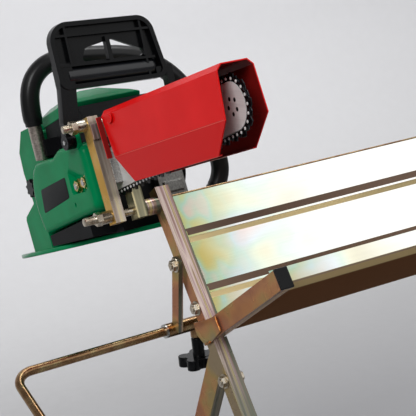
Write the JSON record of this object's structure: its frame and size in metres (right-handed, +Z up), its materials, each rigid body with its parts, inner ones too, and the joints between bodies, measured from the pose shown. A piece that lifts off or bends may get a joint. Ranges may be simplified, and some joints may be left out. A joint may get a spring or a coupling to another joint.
{
  "type": "log saw stand",
  "caption": "Folding-trough log saw stand with a swinging chainsaw holder, hinged chain guard and sliding log length stop.",
  "frame": {"origin": "middle of the object's box on the floor", "axes": "+X along the trough away from the saw, +Y to the rear where the saw's body lies, +Z up"},
  "size_m": [1.188, 0.8204, 0.9573],
  "materials": {
    "zinc_steel": "yellow passivated zinc",
    "bare_steel": "ground",
    "red_paint": "gloss",
    "black_plastic": "moulded",
    "green_plastic": "gloss",
    "case_metal": "black cast",
    "handle_tube": "satin",
    "black_rubber": "matt"
  },
  "bodies": {
    "stand": {"left_rear_post": "zinc_steel", "left_front_leg": "zinc_steel", "left_front_arm": "zinc_steel", "left_rear_leg": "zinc_steel", "left_gusset": "zinc_steel", "right_rear_post": "zinc_steel", "right_front_leg": "zinc_steel", "right_front_arm": "zinc_steel", "right_rear_leg": "zinc_steel", "right_gusset": "zinc_steel", "trough_back_panel": "zinc_steel", "trough_front_panel": "zinc_steel", "leg_feet": "black_plastic", "arm_caps": "black_plastic", "frame_bolts": "zinc_steel", "frame_nuts": "zinc_steel", "stop_hanger": "zinc_steel", "stop_sleeve": "zinc_steel", "pivot_bush": "zinc_steel"},
    "stop_bush": {"stop_bush": "bare_steel"},
    "stop_rod": {"stop_rod": "zinc_steel"},
    "stop_knob": {"stop_knob": "black_plastic"},
    "saw": {"holder_collar": "zinc_steel", "clamp_post_outer": "zinc_steel", "clamp_post_inner": "zinc_steel", "clamp_pads": "bare_steel", "clamp_bolts": "zinc_steel", "clamp_sleeves": "zinc_steel", "clamp_nuts": "zinc_steel", "guard_arm": "zinc_steel", "guard_pivot_bolts": "red_paint", "saw_crankcase": "case_metal", "saw_sprocket_cover": "green_plastic", "saw_bar_studs": "bare_steel", "saw_bar_nuts": "zinc_steel", "saw_tank": "green_plastic", "saw_guide_bar": "bare_steel", "saw_chain": "bare_steel", "saw_drive_sprocket": "bare_steel", "saw_front_handle": "handle_tube", "saw_front_grip": "black_rubber", "saw_hand_guard_pins": "bare_steel", "saw_top_cover": "green_plastic", "saw_starter_cover": "black_plastic", "saw_starter_grip": "black_plastic", "saw_rear_handle": "black_plastic", "saw_base_plate": "green_plastic", "saw_muffler": "bare_steel", "saw_control_pins": "bare_steel"},
    "guard": {"chain_guard": "red_paint"},
    "hand_guard": {"saw_hand_guard": "black_plastic"},
    "trigger": {"saw_throttle_trigger": "black_plastic"},
    "trigger_lock": {"saw_throttle_lock": "black_plastic"},
    "fuel_cap": {"saw_fuel_cap": "black_plastic"},
    "oil_cap": {"saw_oil_cap": "black_plastic"}
  },
  "joints": [
    {"name": "saw_swing", "type": "hinge", "parent": "stand", "child": "saw", "pos_m": [-0.344, 0.01658, 0.71522], "axis": [1, 0, 0], "range_deg": [0, 80]},
    {"name": "guard_lift", "type": "hinge", "parent": "saw", "child": "guard", "pos_m": [-0.394, -0.01213, 0.84377], "axis": [-1, 0, 0], "range_deg": [0, 30]},
    {"name": "hand_guard_push", "type": "hinge", "parent": "saw", "child": "hand_guard", "pos_m": [-0.394, 0.08611, 0.80656], "axis": [1, 0, 0], "range_deg": [0, 15]},
    {"name": "trigger_pull", "type": "hinge", "parent": "saw", "child": "trigger", "pos_m": [-0.331, 0.33535, 0.68266], "axis": [1, 0, 0], "range_deg": [0, 10], "stiffness_Nm_per_rad": 0.5},
    {"name": "trigger_lock_press", "type": "hinge", "parent": "saw", "child": "trigger_lock", "pos_m": [-0.331, 0.3703, 0.66745], "axis": [1, 0, 0], "range_deg": [0, 6], "stiffness_Nm_per_rad": 0.5},
    {"name": "fuel_cap_turn", "type": "hinge", "parent": "saw", "child": "fuel_cap", "pos_m": [-0.421, 0.26045, 0.72008], "axis": [-1, 0, 0], "range_deg": [0, 90]},
    {"name": "oil_cap_turn", "type": "hinge", "parent": "saw", "child": "oil_cap", "pos_m": [-0.278, 0.08074, 0.7111], "axis": [1, 0, 0], "range_deg": [0, 90]},
    {"name": "stop_turn", "type": "hinge", "parent": "stand", "child": "stop_bush", "pos_m": [-0.34, 0.00442, 0.551], "axis": [1, 0, 0], "range_deg": [-95, 55]},
    {"name": "stop_slide", "type": "slide", "parent": "stop_bush", "child": "stop_rod", "axis": [1, 0, 0], "range_m": [-0.11, 0.1]},
    {"name": "stop_knob_turn", "type": "hinge", "parent": "stand", "child": "stop_knob", "pos_m": [-0.326, 0.00442, 0.551], "axis": [0, 0, 1], "range_deg": [0, 360]}
  ]
}
